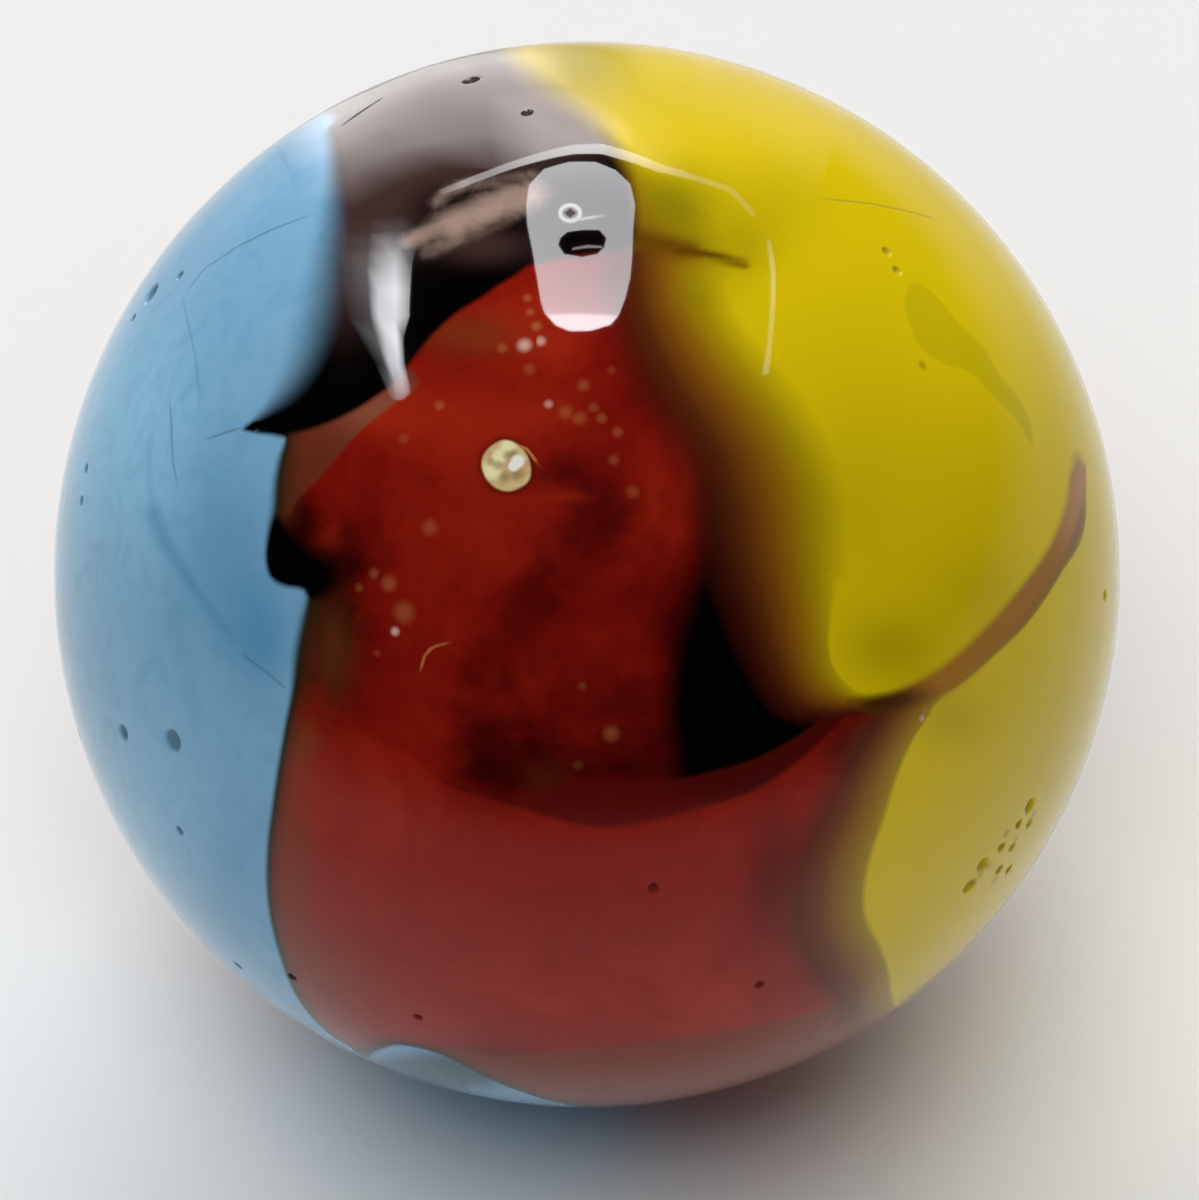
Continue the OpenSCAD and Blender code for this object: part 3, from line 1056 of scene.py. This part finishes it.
# The ring: centre, half width, half height, thickness and glow, and the rows it takes
RING = (571, 213, 12, 10, 4, 26)
RING_STEPS = 17
RING_MIDDLE_ROWS = [[(565, 213, 5), (571, 208, 5)], [(571, 218, 5), (577, 213, 5)]]
TAIL_ROWS = [
    [(580, 218, 22), (580, 221, 22)], [(592, 216, 22), (592, 219, 22)], [(607, 214, 14), (607, 217, 14)],
]
LENS_STREAK_ROWS = [
    [(573, 248, 9), (573, 250, 9)], [(588, 245, 9), (588, 248, 9)], [(603, 246, 9), (603, 248, 9)],
]
SIDE_ROWS = [
    [(344, 218, 0), (370, 218, 0), (392, 216, 0.1), (406, 216, 0.1), (424, 216, 0)],
    [(342, 232, 0.1), (370, 232, 0.4), (391, 230, 1.5), (405, 230, 1.5), (422, 230, 0.2)],
    [(340, 248, 0.2), (369, 248, 1.5), (388, 246, 8), (401, 246, 7), (418, 244, 0.6)],
    [(342, 266, 0.4), (367, 266, 3), (384, 266, 14), (396, 266, 20), (413, 264, 3)],
    [(344, 290, 0.4), (369, 290, 3), (380, 290, 22), (396, 290, 30), (411, 290, 12)],
    [(350, 318, 0.3), (371, 318, 2), (380, 318, 24), (396, 318, 28), (410, 316, 12)],
    [(362, 340, 0.2), (378, 340, 4), (387, 340, 24), (397, 340, 34), (404, 338, 3)],
    [(376, 364, 0), (385, 364, 2), (391, 364, 22), (399, 364, 26), (405, 362, 5)],
    [(385, 386, 0), (391, 387, 4), (397, 388, 12), (404, 388, 14), (410, 384, 6)],
    [(391, 397, 1), (395, 399, 4), (399, 400, 6), (405, 398, 6), (411, 393, 3)],
]
ARC_ROWS = [
    [(440, 190, 2), (443, 195, 2)], [(464, 180, 6), (467, 186, 6)],
    [(490, 170, 7), (493, 176, 7)], [(530, 156, 12), (533, 163, 12)],
    [(573, 145, 14), (575, 154, 14)], [(603, 144, 14), (602, 154, 14)], [(634, 153, 9), (630, 162, 9)],
    [(661, 164, 5), (658, 172, 5)], [(698, 176, 2), (695, 181, 2)], [(734, 188, 1.2), (730, 193, 1.2)],
    [(757, 214, 1.2), (753, 218, 1.2)],
]
THIN_ROWS = [
    [(767, 240, 2), (771, 240, 2)], [(771, 270, 4), (776, 270, 4)], [(771, 300, 4), (776, 300, 4)],
    [(768, 340, 3), (773, 340, 3)], [(762, 375, 4), (769, 375, 4)],
]
WALL_ROWS = [
    [(280, 141, 0.5), (290, 172, 0.1), (300, 200, 0.02), (305, 225, 0.01)],
    [(338, 105, 2.0), (344, 142, 3.2), (350, 172, 2.2), (356, 210, 0.01)],
    [(376, 88, 1.8), (384, 124, 3.0), (392, 152, 2.8), (400, 184, 0.01)],
    [(426, 68, 1.6), (434, 104, 2.6), (440, 140, 3.6), (448, 168, 0.01)],
    [(480, 55, 1.5), (486, 95, 3.2), (490, 135, 3.8), (496, 170, 0.8)],
    [(513, 49, 0.6), (530, 88, 3.6), (540, 125, 7.0), (548, 153, 8.0)],
    [(556, 45, 0.2), (578, 90, 1.6), (592, 125, 5.8), (601, 150, 9.0)],
    [(640, 46.5, 0.4), (640, 92, 0.5), (638, 130, 0.8), (632, 157, 1.6)],
    [(700, 56, 0.6), (700, 103, 0.5), (698, 140, 0.2), (694, 177, 0.05)],
    [(770, 77, 0.6), (760, 121, 0.5), (755, 160, 0.1), (748, 200, 0.01)],
    [(850, 115, 0.6), (832, 150, 0.4), (815, 200, 0.05), (800, 235, 0.01)],
]


def ring_rows(x, y, wide, tall, thick, glow):
    """Rows for a thin ring, given by its centre, half sizes, thickness and glow."""
    rows = []
    for turn in np.linspace(0, 2 * math.pi, RING_STEPS):
        across, down = math.sin(turn), math.cos(turn)
        rows.append([
            (x + (wide - thick) * across, y + (tall - thick) * down, glow),
            (x + wide * across, y + tall * down, glow),
        ])
    return rows


CARD_DISTANCE = 350 * MM

# The cards: name, colour, rows, and the share of the usual distance at which it stands
CARDS = [
    ("window_card", rgb(0.96, 0.96, 1.0), WINDOW_ROWS, 1.0),
    ("lens_card", rgb(0.5, 0.3, 0.2), LENS_ROWS, 0.95),
    ("lens_streak_card", rgb(0.9, 0.8, 0.8), LENS_STREAK_ROWS, 0.9),
    ("ring_card", rgb(1.0, 1.0, 1.0), ring_rows(*RING), 0.9),
    ("ring_middle_card", rgb(0.8, 0.5, 0.5), RING_MIDDLE_ROWS, 0.92),
    ("tail_card", rgb(1.0, 1.0, 1.0), TAIL_ROWS, 0.9),
    ("side_card", rgb(0.95, 0.96, 1.0), SIDE_ROWS, 1.0),
    ("arc_card", rgb(1.0, 1.0, 1.0), ARC_ROWS, 1.0),
    ("thin_card", rgb(1.0, 1.0, 1.0), THIN_ROWS, 1.0),
    ("wall_card", rgb(1.0, 0.93, 0.91), WALL_ROWS, 1.05),
]

# The lamps: name, place and width in metres, and power in watts
LAMPS = [
    ("back_lamp", (-0.03, 0.351, 0.187), 0.40, 1.78),
    ("overhead_lamp", (-0.049, -0.115, 0.359), 0.225, 0.47),
    ("wide_lamp", (0.0, 0.0, 0.35), 0.6, 0.42),
    ("front_lamp", (-0.10, -0.41, 0.02), 0.28, 0.19),
]

# The room: as the camera sees it, above the horizon, and below it for soft light and for gloss
ROOM_SEEN = rgb(0.86, 0.86, 0.86)
ROOM_ABOVE = rgb(0.012, 0.012, 0.012)
ROOM_BELOW = rgb(0.68, 0.68, 0.68)
ROOM_BELOW_GLOSS = rgb(0.43, 0.43, 0.43)
HORIZON_TOP = 0.05
HORIZON_FOOT = -0.25


def build_lamp(name, place, size, power):
    data = bpy.data.lights.new(name, "AREA")
    data.shape = "DISK"
    data.size = size
    data.energy = power
    lamp = new_object(name, data)
    lamp.location = place
    lamp.rotation_euler = (-Vector(place)).to_track_quat("-Z", "Y").to_euler()
    lamp.visible_glossy = False


def build_world():
    world = bpy.data.worlds.new("room")
    bpy.context.scene.world = world
    world.use_nodes = True
    t = Tree(world.node_tree)
    place = t.node("ShaderNodeTexCoord").outputs["Generated"]
    split = t.node("ShaderNodeSeparateXYZ", {0: place})
    low = t.step(split.outputs["Z"], HORIZON_TOP, HORIZON_FOOT)
    path = t.node("ShaderNodeLightPath")
    below = t.mix(path.outputs["Is Glossy Ray"], ROOM_BELOW, ROOM_BELOW_GLOSS)
    room = t.mix(low, ROOM_ABOVE, below)
    colour = t.mix(path.outputs["Is Camera Ray"], room, ROOM_SEEN)
    t.surface(t.node("ShaderNodeBackground", {"Color": colour}), "ShaderNodeOutputWorld")


SENSOR_W = 36.0


def build_camera():
    data = bpy.data.cameras.new("view")
    data.sensor_fit = "HORIZONTAL"
    data.sensor_width = SENSOR_W
    data.lens = FOCAL_PX / PHOTO_W * SENSOR_W
    data.clip_start = 1 * MM
    camera = new_object("view", data)
    place = VIEW_BACK * VIEW_DISTANCE
    aim = VIEW_RIGHT * (CENTRE_X - BALL_X) + VIEW_TOP * (BALL_Y - CENTRE_Y)
    target = aim / FOCAL_PX * VIEW_DISTANCE
    camera.location = place
    camera.rotation_euler = Vector(target - place).to_track_quat("-Z", "Y").to_euler()
    bpy.context.scene.camera = camera


bpy.context.scene.view_settings.view_transform = "Standard"
build_camera()
build_world()
build_floor()
for name, colour, rows, share in CARDS:
    build_card(name, colour, rows, share * CARD_DISTANCE)
for lamp in LAMPS:
    build_lamp(*lamp)

marble = build_marble()
marble.data.materials.append(glass_material())
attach(marble, "root")
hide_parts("marble")
